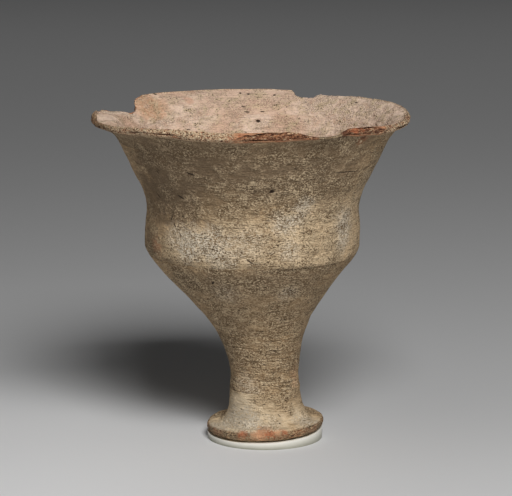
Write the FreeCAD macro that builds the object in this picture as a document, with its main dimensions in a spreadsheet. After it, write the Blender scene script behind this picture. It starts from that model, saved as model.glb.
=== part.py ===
import FreeCAD, Part
import Sketcher
import os
import re

# A stemmed cup of fired clay with a flaring mouth, on the wedge shaped disc that levels it.
# The clay body is five sections, formed apart and luted together: foot, stem, lower bowl,
# upper wall and rim ledge. Sizes are in millimetres and degrees. +Z is up, +X is to the right
# of someone who faces the cup along +Y, and the origin is the centre of the disc's underside.

SIZES = {
    # levelling disc
    "disc_radius": 27.4,
    "disc_thickness": 4.2,
    "disc_chamfer": 0.4,
    "wedge_tilt": 3.4,
    "wedge_azimuth": 47.0,
    # foot, measured up from its own slanting underside
    "foot_shift": 0.8,
    "foot_radius": 27.1,
    "foot_height": 21.2,
    "foot_edge_height": 3.0,
    "foot_edge_turn": 1.4,
    "foot_edge_top": 6.4,
    "foot_edge_round": 1.7,
    "foot_throat_reach": 2.3,
    "foot_throat_height": 10.5,
    "foot_neck_radius": 16.8,
    "foot_hollow_radius": 17.0,
    "foot_hollow_depth": 1.2,
    # tenon under the stem, in the foot's socket
    "tenon_radius": 8.0,
    "tenon_length": 5.0,
    # stem
    "stem_height": 27.7,
    "stem_step": 0.2,
    "stem_waist_radius": 16.2,
    "stem_top_radius": 21.4,
    "stem_top_x": -2.0,
    "stem_top_y": -1.2,
    # boss under the lower bowl, in the stem's dished top
    "boss_radius": 13.0,
    "boss_tip_radius": 9.0,
    "boss_depth": 4.0,
    # lower bowl, a funnel that leans over to the bowl's own axis
    "bowl_x": -6.0,
    "bowl_y": -3.0,
    "lower_bowl_height": 38.0,
    "carination_radius": 49.5,
    "lower_wall": 5.4,
    "bowl_floor": 6.0,
    "floor_radius": 19.5,
    "floor_rise": 5.0,
    # scarfed lap between the lower bowl and the upper wall
    "lap_height": 6.0,
    "lap_flat": 0.8,
    # upper wall
    "carination_overhang": 1.3,
    "carination_swell": 0.3,
    "wall_height": 53.5,
    "wall_thickness": 4.6,
    "waist_step": 0.6,
    "waist_height": 19.0,
    "throat_rise": 17.2,
    "throat_flare": 5.1,
    "throat_slack": 1.4,
    "mouth_flare": 8.2,
    # scarfed lap between the upper wall and the rim ledge
    "rim_lap_height": 3.0,
    "rim_lap_width": 3.0,
    # rim ledge, folded out and up
    "ledge_step": 0.3,
    "ledge_overhang": 11.7,
    "ledge_rise": 13.9,
    "ledge_edge_height": 9.2,
    "ledge_edge_tuck": 1.6,
    "ledge_under_reach": 3.6,
    "ledge_under_rise": 4.8,
    "ledge_crest_inset": 1.0,
    "ledge_shoulder_reach": 2.0,
    "ledge_shoulder_rise": 10.0,
    # what has broken away from the ledge's edge
    "back_left_break_start": 138.0,
    "back_left_break_span": 25.0,
    "back_left_break_depth": 9.0,
    "back_right_break_start": 40.0,
    "back_right_break_span": 34.0,
    "back_right_break_depth": 7.6,
    "front_chip_start": 262.0,
    "front_chip_span": 26.0,
    "front_chip_depth": 2.2,
    "right_chip_start": 304.0,
    "right_chip_span": 19.0,
    "right_chip_depth": 2.6,
    # how far every cut runs past the clay
    "overrun": 6.0,
}

# Sections of the stem over its seat on the foot: shares of the height, of the widening from
# the waist to the top, and of the drift from the foot's neck to the top's centre
STEM_SHARES = [
    (0.22, 0.0, 0.02), (0.43, 0.12, 0.2), (0.64, 0.34, 0.46), (0.85, 0.7, 0.74), (1.0, 1.0, 1.0),
]

# Sections of the lower bowl over its seat on the stem: shares of the height, of the widening,
# and of the drift from the stem's top to the bowl's axis
FUNNEL_SHARES = [
    (0.1, 0.075, 0.15), (0.205, 0.157, 0.32), (0.43, 0.39, 0.6), (0.665, 0.65, 0.93), (0.89, 0.904, 1.0),
    (1.0, 1.0, 1.0),
]

# Corners of each broken edge: shares of the break's span and of its depth
BREAK_SHARES = {
    "back_left_break": [(0.06, 0.5), (0.15, 0.82), (0.34, 0.9), (0.52, 1.0), (0.74, 0.9), (0.92, 0.6)],
    "back_right_break": [(0.05, 0.52), (0.13, 0.8), (0.42, 0.86), (0.5, 0.7), (0.66, 0.8), (0.97, 1.0)],
    "front_chip": [(0.08, 0.6), (0.3, 1.0), (0.55, 0.7), (0.8, 0.9)],
    "right_chip": [(0.1, 0.8), (0.45, 1.0), (0.7, 0.6)],
}

# Where the round floor is measured between its axis and its edge, as a share of its radius
BEND_SHARE = 0.6

TILT = "wedge_tilt * 1 deg"
AZIMUTH = "(wedge_azimuth * 1 deg)"
LEANING = f"rotation(vector(sin{AZIMUTH}; -cos{AZIMUTH}; 0); {TILT})"

# Where the sections meet, from the origin
FOOT_Z = f"(disc_thickness + foot_shift * tan({TILT}) * cos{AZIMUTH})"
NECK_X = f"(foot_shift - foot_height * sin({TILT}) * cos{AZIMUTH})"
NECK_Y = f"(-foot_height * sin({TILT}) * sin{AZIMUTH})"
NECK_Z = f"({FOOT_Z} + foot_height * cos({TILT}))"
STEM_TOP_Z = f"({NECK_Z} + stem_height)"
CARINATION_Z = f"({STEM_TOP_Z} + lower_bowl_height)"
MOUTH_Z = f"({CARINATION_Z} + wall_height)"

# Radii of the upper wall from the carination up, which its neighbours share
WAIST_RADIUS = "(carination_radius + waist_step)"
THROAT_RADIUS = f"({WAIST_RADIUS} + throat_flare)"
MOUTH_RADIUS = f"({THROAT_RADIUS} + mouth_flare)"
INNER_WAIST = f"({WAIST_RADIUS} - wall_thickness)"
SCARF_TIP = f"({INNER_WAIST} + lap_flat)"
INNER_MOUTH = f"({MOUTH_RADIUS} - rim_lap_width)"
LIP_RADIUS = f"({MOUTH_RADIUS} + ledge_overhang)"

doc = FreeCAD.newDocument("StemmedCup")
sheet = doc.addObject("Spreadsheet::Sheet", "Sizes")
pieces = []


def fill_sheet():
    for row, (alias, size) in enumerate(SIZES.items(), start=1):
        sheet.set(f"A{row}", alias.replace("_", " "))
        sheet.set(f"B{row}", str(size))
        sheet.setAlias(f"B{row}", alias)
    doc.recompute()


def bound(expression):
    """The expression with each size's name pointing to its cell in the sheet."""
    return re.sub(r"[a-z_]+", lambda word: f"Sizes.{word[0]}" if word[0] in SIZES else word[0], expression)


def amount(expression):
    """What the expression comes to with the sheet's present sizes."""
    found = sheet.evalExpression(bound(expression))
    return float(getattr(found, "Value", found))


def place(x, y, z, turn="rotation(vector(0; 0; 1); 0)"):
    return bound(f"placement(vector({x}; {y}; {z}); {turn})")


def sub_part(label, placement):
    """An empty body, one section of the cup, that stands at its own seat."""
    body = doc.addObject("PartDesign::Body", label)
    body.Label = label
    body.setExpression("Placement", placement)
    pieces.append(body)
    return body


def sketch_on(body, plane, name, offset):
    """A sketch on one of the body's origin planes, moved over it by the offset."""
    sketch = body.newObject("Sketcher::SketchObject", name)
    support = next(item for item in body.Origin.OriginFeatures if item.Role == plane)
    sketch.AttachmentSupport = [(support, "")]
    sketch.MapMode = "FlatFace"
    sketch.setExpression("AttachmentOffset", offset)
    return sketch


def hold(sketch, kind, geometry, expression, point=None):
    """Dimension a point from the sketch's origin, or a circle's radius, with an expression."""
    value = amount(expression)
    if point is None:
        constraint = Sketcher.Constraint(kind, geometry, value)
    else:
        constraint = Sketcher.Constraint(kind, geometry, point, value)
    number = sketch.addConstraint(constraint)
    sketch.setExpression(f"Constraints[{number}]", bound(expression))


def pin(sketch, geometry, point, x, y):
    """Hold a point at (x, y), on an axis of the sketch where one of them is zero."""
    for kind, axis, expression in (("DistanceX", -2, x), ("DistanceY", -1, y)):
        if expression == "0":
            sketch.addConstraint(Sketcher.Constraint("PointOnObject", geometry, point, axis))
        else:
            hold(sketch, kind, geometry, expression, point)


def outline(sketch, corners):
    """Close an outline. A corner (x, y) ends a line; (x, y, via_x, via_y) ends an arc through via."""
    spots = [FreeCAD.Vector(amount(corner[0]), amount(corner[1]), 0) for corner in corners]
    edges = []
    for number, corner in enumerate(corners):
        start, end = spots[number - 1], spots[number]
        if len(corner) == 2:
            edges.append((sketch.addGeometry(Part.LineSegment(start, end)), 1, 2))
            continue
        via = FreeCAD.Vector(amount(corner[2]), amount(corner[3]), 0)
        arc = sketch.addGeometry(Part.Arc(start, via, end))
        first, last = sorted((1, 2), key=lambda point: sketch.getPoint(arc, point).distanceToPoint(start))
        edges.append((arc, first, last))
        mark = sketch.addGeometry(Part.Point(via), True)
        sketch.addConstraint(Sketcher.Constraint("PointOnObject", mark, 1, arc))
        pin(sketch, mark, 1, corner[2], corner[3])
    for number, (edge, first, last) in enumerate(edges):
        before, _, before_last = edges[number - 1]
        sketch.addConstraint(Sketcher.Constraint("Coincident", before, before_last, edge, first))
        pin(sketch, edge, last, corners[number][0], corners[number][1])


def turned(body, kind, name, corners, x="0", y="0"):
    """A Revolution or Groove of an upright half section about its own axis, which stands at (x, y)."""
    sketch = sketch_on(body, "XZ_Plane", f"{name}_section", place(x, "0", f"-({y})"))
    outline(sketch, corners)
    feature = body.newObject(f"PartDesign::{kind}", name)
    feature.Profile = sketch
    feature.ReferenceAxis = (sketch, ["V_Axis"])


def ring(body, name, radius, placement):
    """A circular section for a loft, pad or pocket."""
    sketch = sketch_on(body, "XY_Plane", name, placement)
    centre = FreeCAD.Vector(0, 0, 0)
    circle = sketch.addGeometry(Part.Circle(centre, FreeCAD.Vector(0, 0, 1), amount(radius)))
    sketch.addConstraint(Sketcher.Constraint("Coincident", circle, 3, -1, 1))
    hold(sketch, "Radius", circle, radius)
    return sketch


def drifting_loft(body, name, seat_ring, shares, height, narrow, wide, drift_x, drift_y):
    """A loft from its seat up through rings that widen and drift aside."""
    sections = []
    for rise, widening, drift in shares:
        radius = f"{narrow} + ({wide} - {narrow}) * {widening}"
        spot = place(f"{drift_x} * {drift}", f"{drift_y} * {drift}", f"{height} * {rise}")
        sections.append((ring(body, f"{name}_ring_{len(sections) + 1}", radius, spot), [""]))
    feature = body.newObject("PartDesign::AdditiveLoft", name)
    feature.Profile = (seat_ring, [""])
    feature.Sections = sections


def levelling_disc():
    """A sawn disc whose top slants, thick at the back right."""
    body = sub_part("display_disc", place("0", "0", "0"))
    blank = body.newObject("PartDesign::Pad", "disc_blank")
    blank.Profile = ring(body, "disc_edge", "disc_radius", place("0", "0", "0"))
    blank.setExpression("Length", bound("disc_thickness + overrun"))
    slant = body.newObject("PartDesign::Pocket", "slant_cut")
    slant.Profile = ring(body, "slant", "disc_radius + overrun", place("0", "0", "disc_thickness", LEANING))
    slant.Type = "ThroughAll"
    slant.Reversed = True
    doc.recompute()
    rims = [f"Edge{i}" for i, edge in enumerate(slant.Shape.Edges, start=1) if edge.isClosed()]
    bevel = body.newObject("PartDesign::Chamfer", "disc_bevels")
    bevel.Base = (slant, rims)
    bevel.setExpression("Size", bound("disc_chamfer"))


def foot():
    """A spreading foot with a worn round edge and a shallow hollow, leaning with the disc's top."""
    body = sub_part("foot", place("foot_shift", "0", FOOT_Z, LEANING))
    turned(body, "Revolution", "foot_form", [
        ("0", "0"),
        ("foot_radius - foot_edge_turn", "0"),
        ("foot_radius - foot_edge_round", "foot_edge_top", "foot_radius", "foot_edge_height"),
        ("foot_neck_radius", "foot_height", "foot_neck_radius + foot_throat_reach", "foot_throat_height"),
        ("0", "foot_height"),
    ])
    turned(body, "Groove", "foot_hollow", [
        ("0", "-overrun"),
        ("foot_hollow_radius", "-overrun"),
        ("foot_hollow_radius", "0"),
        ("0", "foot_hollow_depth"),
    ])
    socket = body.newObject("PartDesign::Pocket", "tenon_socket")
    socket.Profile = ring(body, "socket_mouth", "tenon_radius", place("0", "0", "foot_height"))
    socket.setExpression("Length", bound("tenon_length"))


def stem():
    """A waisted stem, lofted from the foot's slanting neck to a level top that has drifted aside."""
    body = sub_part("stem", place(NECK_X, NECK_Y, NECK_Z))
    drift_x, drift_y = f"(stem_top_x - {NECK_X})", f"(stem_top_y - {NECK_Y})"
    seat = ring(body, "stem_seat", "foot_neck_radius - stem_step", place("0", "0", "0", LEANING))
    drifting_loft(
        body, "stem_form", seat, STEM_SHARES,
        "stem_height", "stem_waist_radius", "stem_top_radius", drift_x, drift_y)
    tenon = body.newObject("PartDesign::Pad", "stem_tenon")
    tenon.Profile = ring(body, "tenon_root", "tenon_radius", place("0", "0", "0", LEANING))
    tenon.setExpression("Length", bound("tenon_length"))
    tenon.Reversed = True
    turned(body, "Groove", "stem_dish", [
        ("0", "stem_height - boss_depth"),
        ("boss_tip_radius", "stem_height - boss_depth"),
        ("boss_radius", "stem_height"),
        ("boss_radius", "stem_height + overrun"),
        ("0", "stem_height + overrun"),
    ], drift_x, drift_y)


def lower_bowl():
    """A funnel lofted from the stem's top over to the bowl's axis, with a scarf round its top edge."""
    body = sub_part("lower_bowl", place("stem_top_x", "stem_top_y", STEM_TOP_Z))
    drift_x, drift_y = "(bowl_x - stem_top_x)", "(bowl_y - stem_top_y)"
    seat = ring(body, "funnel_seat", "stem_top_radius", place("0", "0", "0"))
    drifting_loft(
        body, "funnel_form", seat, FUNNEL_SHARES,
        "lower_bowl_height", "stem_top_radius", "carination_radius", drift_x, drift_y)
    turned(body, "Revolution", "scarf", [
        ("0", "lower_bowl_height"),
        ("carination_radius", "lower_bowl_height"),
        (SCARF_TIP, "lower_bowl_height + lap_height"),
        ("0", "lower_bowl_height + lap_height"),
    ], drift_x, drift_y)
    turned(body, "Revolution", "boss", [
        ("0", "0"),
        ("0", "-boss_depth"),
        ("boss_tip_radius", "-boss_depth"),
        ("boss_radius", "0"),
    ])
    turned(body, "Groove", "funnel_hollow", [
        ("0", "bowl_floor"),
        ("floor_radius", "bowl_floor + floor_rise",
         f"floor_radius * {BEND_SHARE}", f"bowl_floor + floor_rise * {BEND_SHARE}^2"),
        ("carination_radius - lower_wall", "lower_bowl_height"),
        (INNER_WAIST, "lower_bowl_height + lap_height"),
        (INNER_WAIST, "lower_bowl_height + lap_height + overrun"),
        ("0", "lower_bowl_height + lap_height + overrun"),
    ], drift_x, drift_y)


def upper_wall():
    """A drawn-in wall that flares to the mouth, and overhangs the lower bowl at the carination."""
    body = sub_part("upper_wall", place("bowl_x", "bowl_y", CARINATION_Z))
    throat = "(waist_height + throat_rise)"
    outer_bend = f"{WAIST_RADIUS} + throat_flare / 2 - throat_slack", "waist_height + throat_rise / 2"
    inner_bend = f"{INNER_WAIST} + throat_flare / 2 - throat_slack", "waist_height + throat_rise / 2"
    overhang = "(carination_radius + carination_overhang)"
    turned(body, "Revolution", "wall_form", [
        (SCARF_TIP, "lap_height"),
        ("carination_radius", "0"),
        (overhang, "0"),
        (WAIST_RADIUS, "waist_height", f"{overhang} + carination_swell", "lap_height"),
        (THROAT_RADIUS, throat, *outer_bend),
        (MOUTH_RADIUS, "wall_height"),
        (INNER_MOUTH, "wall_height + rim_lap_height"),
        (f"{THROAT_RADIUS} - wall_thickness", throat),
        (INNER_WAIST, "waist_height", *inner_bend),
        (INNER_WAIST, "lap_height"),
    ])


def rim_ledge():
    """The lip, folded out and up over the mouth, with the pieces that its edge has lost."""
    body = sub_part("rim_ledge", place("bowl_x", "bowl_y", MOUTH_Z))
    edge_low = "(ledge_edge_height - ledge_edge_tuck)"
    crest = f"({LIP_RADIUS} - ledge_crest_inset)"
    turned(body, "Revolution", "ledge_form", [
        (INNER_MOUTH, "rim_lap_height"),
        (MOUTH_RADIUS, "0"),
        (f"{MOUTH_RADIUS} + ledge_step", "0"),
        (f"{LIP_RADIUS} - ledge_edge_tuck", edge_low,
         f"{MOUTH_RADIUS} + ledge_under_reach", "ledge_under_rise"),
        (crest, "ledge_rise", LIP_RADIUS, "ledge_edge_height"),
        (INNER_MOUTH, "rim_lap_height + ledge_step",
         f"{MOUTH_RADIUS} + ledge_shoulder_reach", "ledge_shoulder_rise"),
    ])
    for name, corners in BREAK_SHARES.items():
        broken_edge(body, name, corners)


def broken_edge(body, name, corners):
    """Cut away what is missing from the ledge's edge, along an uneven fracture."""
    outside = f"({LIP_RADIUS} + overrun)"
    path = [(outside, 1), (outside, 0), (LIP_RADIUS, 0)]
    path += [(f"({LIP_RADIUS} - {name}_depth * {depth})", along) for along, depth in corners]
    path.append((LIP_RADIUS, 1))
    spots = []
    for radius, along in path:
        angle = f"(({name}_start + {name}_span * {along}) * 1 deg)"
        spots.append((f"{radius} * cos{angle}", f"{radius} * sin{angle}"))
    sketch = sketch_on(body, "XY_Plane", f"{name}_fracture", place("0", "0", "ledge_rise + overrun"))
    outline(sketch, spots)
    cut = body.newObject("PartDesign::Pocket", name)
    cut.Profile = sketch
    cut.Type = "ThroughAll"


def cuts_nothing(item):
    kind = item.TypeId in ("PartDesign::Pocket", "PartDesign::Groove")
    return kind and item.Shape.Volume >= item.BaseFeature.Shape.Volume


def faults():
    """The objects that failed, the cuts that miss, and the sections without one whole solid."""
    failed = [item.Label for item in doc.Objects if {"Invalid", "Error"} & set(item.State)]
    if not failed:
        failed += [item.Label for item in doc.Objects if cuts_nothing(item)]
    for body in pieces:
        shape = body.Shape
        if shape.isNull() or not shape.isValid() or len(shape.Solids) != 1:
            failed.append(body.Label)
    return failed


fill_sheet()
for build in (levelling_disc, foot, stem, lower_bowl, upper_wall, rim_ledge):
    build()
doc.recompute()
if faults():
    raise RuntimeError(f"not built: {faults()}")

os.makedirs("parts", exist_ok=True)
for body in pieces:
    body.Shape.exportStep(f"parts/{body.Label}.step")
    print(f"{body.Label}: {body.Shape.Volume:.0f} mm3")
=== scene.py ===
import math

import bpy
import numpy as np
from mathutils import Matrix, Vector


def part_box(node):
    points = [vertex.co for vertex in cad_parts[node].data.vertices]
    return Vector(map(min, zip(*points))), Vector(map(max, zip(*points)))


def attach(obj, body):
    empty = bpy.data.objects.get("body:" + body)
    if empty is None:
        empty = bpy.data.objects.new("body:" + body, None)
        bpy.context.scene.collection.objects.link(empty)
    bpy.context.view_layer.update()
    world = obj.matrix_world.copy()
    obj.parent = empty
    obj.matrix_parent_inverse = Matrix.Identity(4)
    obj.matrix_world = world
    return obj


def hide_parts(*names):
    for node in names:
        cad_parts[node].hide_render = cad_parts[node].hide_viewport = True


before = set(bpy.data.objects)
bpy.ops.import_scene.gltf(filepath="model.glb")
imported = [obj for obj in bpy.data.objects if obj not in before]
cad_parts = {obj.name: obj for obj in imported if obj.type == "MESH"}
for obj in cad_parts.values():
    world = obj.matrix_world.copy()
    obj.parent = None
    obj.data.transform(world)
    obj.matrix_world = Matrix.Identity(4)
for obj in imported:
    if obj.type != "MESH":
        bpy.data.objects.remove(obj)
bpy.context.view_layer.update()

# A stemmed clay cup, formed in five sections and luted together, on its levelling disc.
# Sizes in this file are millimetres in the part's own frame, unless a name says otherwise.

bl_info = {
    "name": "Stemmed clay cup",
    "version": (1, 0, 0),
    "blender": (4, 5, 0),
    "location": "View3D > Sidebar > Cup",
    "description": "Builds a chipped and wiped clay cup around its packed solids",
    "category": "Object",
}

MM = 0.001


def box_mm(node):
    low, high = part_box(node)
    return np.array(low) / MM, np.array(high) / MM


DISC_LOW, DISC_HIGH = box_mm("display_disc")
STEM_LOW, STEM_HIGH = box_mm("stem")
BOWL_LOW, BOWL_HIGH = box_mm("lower_bowl")
WALL_LOW, WALL_HIGH = box_mm("upper_wall")
RIM_LOW, RIM_HIGH = box_mm("rim_ledge")

BOWL_AXIS = (WALL_LOW[:2] + WALL_HIGH[:2]) / 2
STEM_TOP = np.array([(STEM_LOW[0] + STEM_HIGH[0]) / 2, (STEM_LOW[1] + STEM_HIGH[1]) / 2, STEM_HIGH[2]])
STEM_TOP_RADIUS = (STEM_HIGH[0] - STEM_LOW[0]) / 2
CARINATION = (BOWL_HIGH[0] - BOWL_LOW[0]) / 2
CARINATION_Z = WALL_LOW[2]
MOUTH = (WALL_HIGH[0] - WALL_LOW[0]) / 2
MOUTH_Z = RIM_LOW[2]
DISC_RADIUS = (DISC_HIGH[0] - DISC_LOW[0]) / 2

# The wedge under the foot, and how the sections join
WEDGE_TILT = math.radians(3.4)
WEDGE_AZIMUTH = math.radians(47.0)
DISC_THICKNESS = 4.2
DISC_SIDES, DISC_BEVEL = 256, 0.45
FOOT_SHIFT = 0.8
FOOT_HEIGHT = 21.2
FOOT_RADIUS = 27
STEM_WAIST = 16.2
TENON_RADIUS = 8.0
TENON_LENGTH = 5.0
LAP_HEIGHT = 6.0
RIM_LAP = 3.0
WALL_THICKNESS = 4.6
FOOT_Z = DISC_THICKNESS + FOOT_SHIFT * math.tan(WEDGE_TILT) * math.cos(WEDGE_AZIMUTH)
NECK = np.array([
    FOOT_SHIFT - FOOT_HEIGHT * math.sin(WEDGE_TILT) * math.cos(WEDGE_AZIMUTH),
    -FOOT_HEIGHT * math.sin(WEDGE_TILT) * math.sin(WEDGE_AZIMUTH),
    FOOT_Z + FOOT_HEIGHT * math.cos(WEDGE_TILT),
])

POLE = 0.4  # radius of the small ring that closes a section on its axis
GAP = 0.05  # air between sections, so that their faces never coincide
BOWL_SHIFT = 0.5  # how far the upper bowl stands to the right of its axis
STROKE_REACH = 4.0  # how deep a drawn stroke goes into the clay
CHAFF_SLANT = 0.9  # how steeply the slanting chaff marks climb to the right
CORNER_ANGLE, CORNER_CREASE = 32, 1.0  # a turn of this many degrees stays a sharp corner
SMOOTH_ANGLE = math.radians(48)
MARKS = ("inside", "broken", "scar", "crust", "sunk", "edge")  # kept on each vertex for the finishes


# ---------------------------------------------------------------- outlines of the sections

def bend(start, via, end, steps):
    """Points of the arc from start through via to end, without start."""
    (ax, ay), (bx, by), (cx, cy) = start, via, end
    d = 2 * (ax * (by - cy) + bx * (cy - ay) + cx * (ay - by))
    a2, b2, c2 = ax * ax + ay * ay, bx * bx + by * by, cx * cx + cy * cy
    ox = (a2 * (by - cy) + b2 * (cy - ay) + c2 * (ay - by)) / d
    oy = (a2 * (cx - bx) + b2 * (ax - cx) + c2 * (bx - ax)) / d
    radius = math.hypot(ax - ox, ay - oy)
    first, middle, last = (math.atan2(y - oy, x - ox) for x, y in (start, via, end))
    sweep = (last - first) % math.tau
    if (middle - first) % math.tau > sweep:
        sweep -= math.tau
    angles = [first + sweep * step / steps for step in range(1, steps + 1)]
    return [(ox + radius * math.cos(angle), oy + radius * math.sin(angle)) for angle in angles]


def straight(start, end, steps):
    """Points of the line from start to end, without start."""
    shares = [step / steps for step in range(1, steps + 1)]
    return [tuple(a + (b - a) * share for a, b in zip(start, end)) for share in shares]


def flowing(values, shares):
    """The values of a smooth curve through evenly counted stations, at these shares of its length."""
    values = np.asarray(values, float)
    padded = np.vstack([2 * values[0] - values[1], values, 2 * values[-1] - values[-2]])
    spots = np.clip(np.asarray(shares) * (len(values) - 1), 0, len(values) - 1 - 1e-9)
    cell = spots.astype(int)
    t = (spots - cell)[:, None]
    p0, p1, p2, p3 = (padded[cell + step] for step in range(4))
    return 0.5 * (2 * p1 + (p2 - p0) * t + (2 * p0 - 5 * p1 + 4 * p2 - p3) * t**2
                  + (3 * p1 - p0 - 3 * p2 + p3) * t**3)


# ---------------------------------------------------------------- clay in edit mode

def take_only(piece=None):
    """Nothing selected but the piece, which becomes the active object."""
    if bpy.context.object and bpy.context.object.mode != "OBJECT":
        bpy.ops.object.mode_set(mode="OBJECT")
    bpy.ops.object.select_all(action="DESELECT")
    if piece:
        piece.select_set(True)
        bpy.context.view_layer.objects.active = piece


def corners_of(stations):
    """Which stations stand at a sharp corner of the outline."""
    outline = np.array(stations, float)[:, :2]
    steps = np.diff(outline, axis=0)
    angles = np.degrees(np.unwrap(np.arctan2(steps[:, 1], steps[:, 0])))
    return [False] + [bool(sharp) for sharp in np.abs(np.diff(angles)) > CORNER_ANGLE] + [False]


def thrown(name, stations, around, closed):
    """Draw a ring up from station to station (radius, height, centre x, centre y) and close the ends."""
    take_only()
    radius, height, x, y = stations[0]
    bpy.ops.mesh.primitive_circle_add(
        vertices=around, radius=radius * MM, location=(x * MM, y * MM, height * MM))
    piece = bpy.context.object
    piece.name = piece.data.name = name
    bpy.ops.object.transform_apply(location=True, rotation=True, scale=True)
    bpy.ops.object.mode_set(mode="EDIT")
    bpy.ops.mesh.select_all(action="SELECT")
    for (wide, high, to_x, to_y), corner in zip(stations[1:], corners_of(stations)[1:]):
        bpy.ops.mesh.extrude_edges_move(TRANSFORM_OT_translate={
            "value": ((to_x - x) * MM, (to_y - y) * MM, (high - height) * MM)})
        share = wide / radius
        bpy.ops.transform.resize(
            value=(share, share, 1), center_override=(to_x * MM, to_y * MM, high * MM))
        if corner:
            bpy.ops.transform.edge_crease(value=CORNER_CREASE)
        radius, height, x, y = wide, high, to_x, to_y
    if closed:
        open_edges()
        bpy.ops.mesh.bridge_edge_loops()
    face_outwards()
    soften(piece)
    if not closed:
        bpy.ops.object.mode_set(mode="EDIT")
        open_edges()
        bpy.ops.mesh.merge(type="COLLAPSE")
        face_outwards()
    return piece


def open_edges():
    """Select the edges round the holes of the piece in edit mode."""
    bpy.ops.mesh.select_all(action="DESELECT")
    bpy.ops.mesh.select_mode(type="EDGE")
    bpy.ops.mesh.select_non_manifold(extend=False, use_wire=False, use_multi_face=False,
                                     use_non_contiguous=False, use_verts=False)


def face_outwards():
    """Turn all faces of the piece in edit mode outwards, and leave edit mode."""
    bpy.ops.mesh.select_all(action="SELECT")
    bpy.ops.mesh.normals_make_consistent(inside=False)
    bpy.ops.object.mode_set(mode="OBJECT")


def soften(piece):
    take_only(piece)
    modifier = piece.modifiers.new("softening", "SUBSURF")
    modifier.levels = modifier.render_levels = 2
    bpy.ops.object.modifier_apply(modifier=modifier.name)


def wedge_turn(size):
    """The turn that the wedge gives to what stands on it."""
    return Matrix.Rotation(WEDGE_TILT, size, Vector((math.sin(WEDGE_AZIMUTH), -math.cos(WEDGE_AZIMUTH), 0)))


def uphill(points, centre=(0, 0)):
    """How far the points lie from the centre towards the wedge's thick side."""
    return ((points[:, 0] - centre[0]) * math.cos(WEDGE_AZIMUTH)
            + (points[:, 1] - centre[1]) * math.sin(WEDGE_AZIMUTH))


def stand_on_wedge(piece, seat):
    """Turn the piece about its seat as the wedge says, and leave the object unturned."""
    piece.matrix_world = Matrix.Translation(Vector(seat) * MM) @ wedge_turn(4)
    take_only(piece)
    bpy.ops.object.transform_apply(location=True, rotation=True, scale=True)


def read_vectors(values, count, name):
    """The vectors of a mesh as rows."""
    flat = np.empty(count * 3, np.float32)
    values.foreach_get(name, flat)
    return flat.reshape(-1, 3).astype(float)


def points_of(piece):
    return read_vectors(piece.data.vertices, len(piece.data.vertices), "co") / MM


def set_points(piece, points):
    piece.data.vertices.foreach_set("co", (points * MM).astype(np.float32).ravel())
    piece.data.update()


def normals_of(piece):
    return read_vectors(piece.data.vertex_normals, len(piece.data.vertices), "vector")


def azimuth_of(away):
    """Degrees round the cup of the directions from its axis."""
    return np.degrees(np.arctan2(away[:, 1], away[:, 0])) % 360


def step_up(values, low, high):
    """0 below low, 1 above high, and smooth between."""
    t = np.clip((values - low) / (high - low), 0, 1)
    return t * t * (3 - 2 * t)


class Grain:
    """Smooth random values from -1 to 1 through space, the same each run."""

    LATTICE = 48

    def __init__(self, seed):
        self.lattice = np.random.default_rng(seed).uniform(-1, 1, (self.LATTICE,) * 3)

    def at(self, points, wide, high=None):
        """Values at the points, with lumps this wide and this high."""
        spots = points / np.array([wide, wide, high or wide])
        cell = np.floor(spots).astype(int)
        t = spots - cell
        t = t * t * (3 - 2 * t)
        total = 0
        for dx in (0, 1):
            for dy in (0, 1):
                for dz in (0, 1):
                    weight = (t[:, 0] if dx else 1 - t[:, 0]) * (t[:, 1] if dy else 1 - t[:, 1])
                    weight = weight * (t[:, 2] if dz else 1 - t[:, 2])
                    corner = (cell + (dx, dy, dz)) % self.LATTICE
                    total = total + weight * self.lattice[corner[:, 0], corner[:, 1], corner[:, 2]]
        return total

    def rough(self, points, wide, high=None, octaves=3):
        """The same with finer lumps on it, each octave half as wide and half as strong."""
        total = 0
        for octave in range(octaves):
            share = 0.5**octave
            total = total + share * self.at(points + 17.3 * octave, wide * share, (high or wide) * share)
        return total


def axis_at(height):
    """Centre of the cup at each height. It drifts from the foot over to the bowl."""
    spots = ((DISC_THICKNESS, FOOT_SHIFT, 0), (NECK[2], *NECK[:2]), (STEM_TOP[2], *STEM_TOP[:2]),
             (CARINATION_Z - 13, *BOWL_AXIS))
    heights, across, back = zip(*spots)
    return np.column_stack([np.interp(height, heights, across), np.interp(height, heights, back)])


def outward(points):
    """Each point's distance from the cup's axis, and its direction from there."""
    away = points[:, :2] - axis_at(points[:, 2])
    radius = np.hypot(*away.T)
    return radius, away / np.maximum(radius, 0.01)[:, None]


def hand_made(piece, sizes):
    """Swell and wipe a section by hand sized lumps and ridges. Neighbours move alike where they meet."""
    points = points_of(piece)
    radius, away = outward(points)
    grain = Grain(7)
    lump, wipe, sway = (value / MM for value in (sizes.lump_depth, sizes.wiping_depth, sizes.sway))
    wipe = wipe * (1 + 0.8 * step_up(points[:, 2], 60, 45))
    amount = lump * grain.rough(points, 11, 8) + wipe * grain.rough(points, 30, 2.6, 2)
    amount = amount + sway * grain.at(points, 42, 30) * step_up(points[:, 2], 35, 70)
    points[:, :2] += away * (amount * step_up(radius, 3, 10))[:, None]
    points[:, 0] += BOWL_SHIFT * step_up(points[:, 2], 98, 118)
    return points


def pressed(points, dents):
    """Sink round dents (centre, width, depth) into the clay."""
    radius, away = outward(points)
    for centre, width, depth in dents:
        gap = np.linalg.norm(points - np.array(centre), axis=1) / (width / 2)
        points[:, :2] -= away * (depth * np.clip(1 - gap**2, 0, 1)**1.5)[:, None]
    return points


# ---------------------------------------------------------------- shader maths

# Places of a Mix node's colour sockets: its factor, its two colours and its result
MIX_SHARE, MIX_FIRST, MIX_SECOND, MIX_RESULT = 0, 6, 7, 2


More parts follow.
